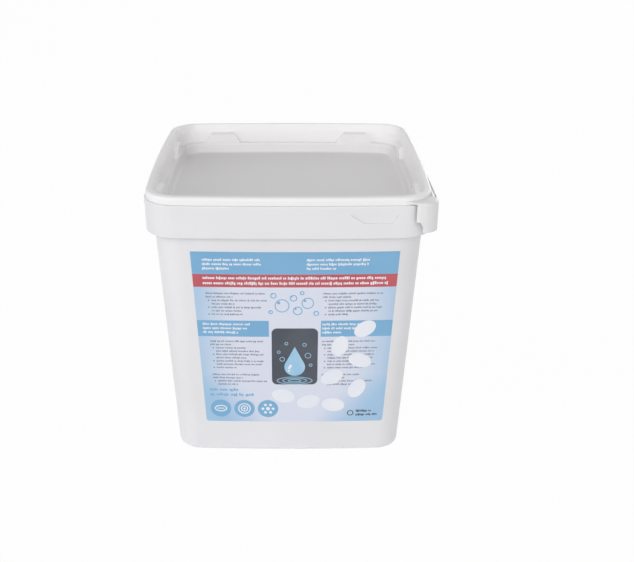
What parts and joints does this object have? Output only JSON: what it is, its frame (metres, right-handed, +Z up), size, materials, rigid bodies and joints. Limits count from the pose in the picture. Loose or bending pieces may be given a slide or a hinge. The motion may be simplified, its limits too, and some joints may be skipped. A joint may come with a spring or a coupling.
{
  "type": "descaling tablet tub",
  "caption": "Square white plastic tub with a recessed press-on lid and a printed label, holding layers of round descaling tablets",
  "frame": {"origin": "on the ground, under the middle of the tub", "axes": "+Z up, the label faces -Y, the opening tab is at the corner towards +X and -Y"},
  "size_m": [0.2009, 0.2009, 0.206],
  "materials": {
    "tub_plastic": "semi-gloss moulded",
    "lid_plastic": "semi-gloss moulded",
    "label_film": "coated, light",
    "print_header": "printed",
    "print_warning": "printed",
    "print_band": "printed",
    "print_picture": "printed",
    "print_drop": "printed",
    "print_icons": "printed",
    "print_ovals": "printed",
    "tablet_powder": "pressed powder, matte"
  },
  "bodies": {
    "tub": {"tub": "tub_plastic", "label": "label_film", "label_header": "print_header", "label_warning_band": "print_warning", "label_middle_band": "print_band", "label_picture": "print_picture", "label_drop": "print_drop", "label_icons": "print_icons", "label_ovals": "print_ovals", "tablet_01": "tablet_powder", "tablet_02": "tablet_powder", "tablet_03": "tablet_powder", "tablet_04": "tablet_powder", "tablet_05": "tablet_powder", "tablet_06": "tablet_powder", "tablet_07": "tablet_powder", "tablet_08": "tablet_powder", "tablet_09": "tablet_powder", "tablet_10": "tablet_powder", "tablet_11": "tablet_powder", "tablet_12": "tablet_powder", "tablet_13": "tablet_powder", "tablet_14": "tablet_powder", "tablet_15": "tablet_powder", "tablet_16": "tablet_powder", "tablet_17": "tablet_powder", "tablet_18": "tablet_powder", "tablet_19": "tablet_powder", "tablet_20": "tablet_powder", "tablet_21": "tablet_powder", "tablet_22": "tablet_powder", "tablet_23": "tablet_powder", "tablet_24": "tablet_powder", "tablet_25": "tablet_powder", "tablet_26": "tablet_powder", "tablet_27": "tablet_powder", "tablet_28": "tablet_powder", "tablet_29": "tablet_powder", "tablet_30": "tablet_powder"},
    "lid": {"lid": "lid_plastic", "lid_tab": "lid_plastic"}
  },
  "joints": [
    {"name": "lid_lift", "type": "slide", "parent": "tub", "child": "lid", "axis": [0, 0, 1], "range_m": [0, 0.08]}
  ]
}
